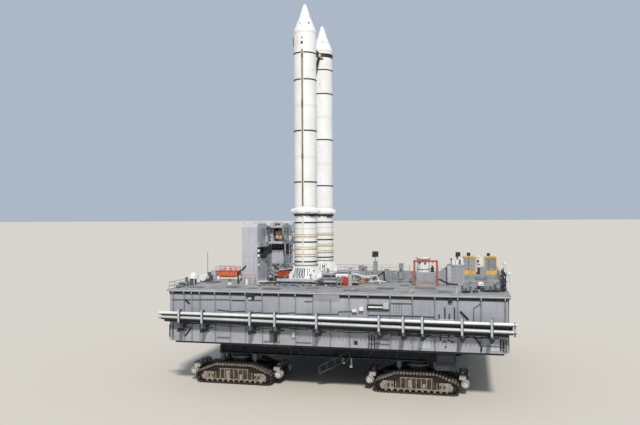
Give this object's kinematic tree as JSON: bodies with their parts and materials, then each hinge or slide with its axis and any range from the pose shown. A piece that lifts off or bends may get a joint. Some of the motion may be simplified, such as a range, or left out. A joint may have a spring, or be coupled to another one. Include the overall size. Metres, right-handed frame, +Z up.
{
  "type": "twin space rocket boosters on a launch platform and crawler, half-scale model",
  "caption": "Two tall white solid-fuel rocket boosters standing on a steel launch platform with service masts and pipes, carried by a crawler with tracked corner trucks; half size.",
  "frame": {"origin": "on the ground, under the middle of the part's outline", "axes": "+X along the platform's long side, towards the driver's cab on the near side; +Y away from the side with the service pipes; +Z up"},
  "size_m": [25.4032, 21.6038, 30.29],
  "materials": {
    "white_paint": "satin white paint",
    "platform_paint": "matt bluish grey paint",
    "deck_paint": "worn matt grey deck paint",
    "crawler_paint": "matt grey paint",
    "shoe_steel": "dusty cast steel",
    "bare_steel": "weathered steel",
    "pipe_paint": "satin",
    "orange_paint": "matt orange paint",
    "yellow_paint": "matt yellow paint",
    "cork_tan": "matt tan",
    "nozzle_liner": "matt charcoal"
  },
  "bodies": {
    "launch_stack": {"crawler_chassis": "crawler_paint", "near_cab": "crawler_paint", "far_cab": "crawler_paint", "platform_hull": "platform_paint", "main_deck": "deck_paint", "service_pipes": "pipe_paint", "deck_tank": "white_paint", "tank_gantry": "orange_paint", "deck_enclosure": "platform_paint", "left_work_cage": "yellow_paint", "right_work_cage": "yellow_paint", "left_access_stand": "orange_paint", "middle_access_stand": "orange_paint", "near_booster_mount": "bare_steel", "near_service_mast": "platform_paint", "near_umbilical_plate": "cork_tan", "near_aft_segment": "white_paint", "near_aft_centre_segment": "white_paint", "near_forward_centre_segment": "white_paint", "near_forward_segment": "white_paint", "near_nose_cap": "white_paint", "near_frustum": "white_paint", "near_aft_skirt": "white_paint", "near_forward_skirt": "white_paint", "near_systems_tunnel": "cork_tan", "far_booster_mount": "bare_steel", "far_service_mast": "platform_paint", "far_umbilical_plate": "cork_tan", "far_aft_segment": "white_paint", "far_aft_centre_segment": "white_paint", "far_forward_centre_segment": "white_paint", "far_forward_segment": "white_paint", "far_nose_cap": "white_paint", "far_frustum": "white_paint", "far_aft_skirt": "white_paint", "far_forward_skirt": "white_paint", "far_systems_tunnel": "cork_tan"},
    "near_left_truck": {"near_left_truck_frame": "crawler_paint", "near_left_outer_belt": "shoe_steel", "near_left_inner_belt": "shoe_steel"},
    "near_right_truck": {"near_right_truck_frame": "crawler_paint", "near_right_outer_belt": "shoe_steel", "near_right_inner_belt": "shoe_steel"},
    "far_left_truck": {"far_left_truck_frame": "crawler_paint", "far_left_outer_belt": "shoe_steel", "far_left_inner_belt": "shoe_steel"},
    "far_right_truck": {"far_right_truck_frame": "crawler_paint", "far_right_outer_belt": "shoe_steel", "far_right_inner_belt": "shoe_steel"},
    "near_mast_bonnet": {"near_mast_bonnet": "platform_paint"},
    "near_nozzle_ball": {"near_nozzle_ball": "bare_steel"},
    "near_nozzle": {"near_nozzle": "nozzle_liner"},
    "far_mast_bonnet": {"far_mast_bonnet": "platform_paint"},
    "far_nozzle_ball": {"far_nozzle_ball": "bare_steel"},
    "far_nozzle": {"far_nozzle": "nozzle_liner"},
    "near_cab_door": {"near_cab_door": "crawler_paint"},
    "far_cab_door": {"far_cab_door": "crawler_paint"}
  },
  "joints": [
    {"name": "near_left_truck_steering", "type": "hinge", "parent": "launch_stack", "child": "near_left_truck", "pos_m": [-7.76, -6.533, 1.55], "axis": [0, 0, 1], "range_deg": [-6, 6]},
    {"name": "near_right_truck_steering", "type": "hinge", "parent": "launch_stack", "child": "near_right_truck", "pos_m": [5.96, -6.533, 1.55], "axis": [0, 0, 1], "range_deg": [-6, 6]},
    {"name": "far_left_truck_steering", "type": "hinge", "parent": "launch_stack", "child": "far_left_truck", "pos_m": [-7.76, 7.187, 1.55], "axis": [0, 0, 1], "range_deg": [-6, 6]},
    {"name": "far_right_truck_steering", "type": "hinge", "parent": "launch_stack", "child": "far_right_truck", "pos_m": [5.96, 7.187, 1.55], "axis": [0, 0, 1], "range_deg": [-6, 6]},
    {"name": "near_bonnet_hinge", "type": "hinge", "parent": "launch_stack", "child": "near_mast_bonnet", "pos_m": [-7.7, -2.473, 11.685], "axis": [-1, 0, 0], "range_deg": [0, 90]},
    {"name": "near_nozzle_rock", "type": "hinge", "parent": "launch_stack", "child": "near_nozzle_ball", "pos_m": [-3.48, -2.853, 8.235], "axis": [1, 0, 0], "range_deg": [-5.6, 5.6]},
    {"name": "near_nozzle_tilt", "type": "hinge", "parent": "near_nozzle_ball", "child": "near_nozzle", "pos_m": [-3.48, -2.853, 8.235], "axis": [0, 1, 0], "range_deg": [-5.6, 5.6]},
    {"name": "far_bonnet_hinge", "type": "hinge", "parent": "launch_stack", "child": "far_mast_bonnet", "pos_m": [-7.7, 3.127, 11.685], "axis": [1, 0, 0], "range_deg": [0, 90]},
    {"name": "far_nozzle_rock", "type": "hinge", "parent": "launch_stack", "child": "far_nozzle_ball", "pos_m": [-3.48, 3.507, 8.235], "axis": [1, 0, 0], "range_deg": [-5.6, 5.6]},
    {"name": "far_nozzle_tilt", "type": "hinge", "parent": "far_nozzle_ball", "child": "far_nozzle", "pos_m": [-3.48, 3.507, 8.235], "axis": [0, 1, 0], "range_deg": [-5.6, 5.6]},
    {"name": "near_cab_door_hinge", "type": "hinge", "parent": "launch_stack", "child": "near_cab_door", "pos_m": [7.4, -8.2483, 2.45], "axis": [0, 0, 1], "range_deg": [0, 100]},
    {"name": "far_cab_door_hinge", "type": "hinge", "parent": "launch_stack", "child": "far_cab_door", "pos_m": [-9.2, 8.9023, 2.45], "axis": [0, 0, 1], "range_deg": [0, 100]}
  ]
}
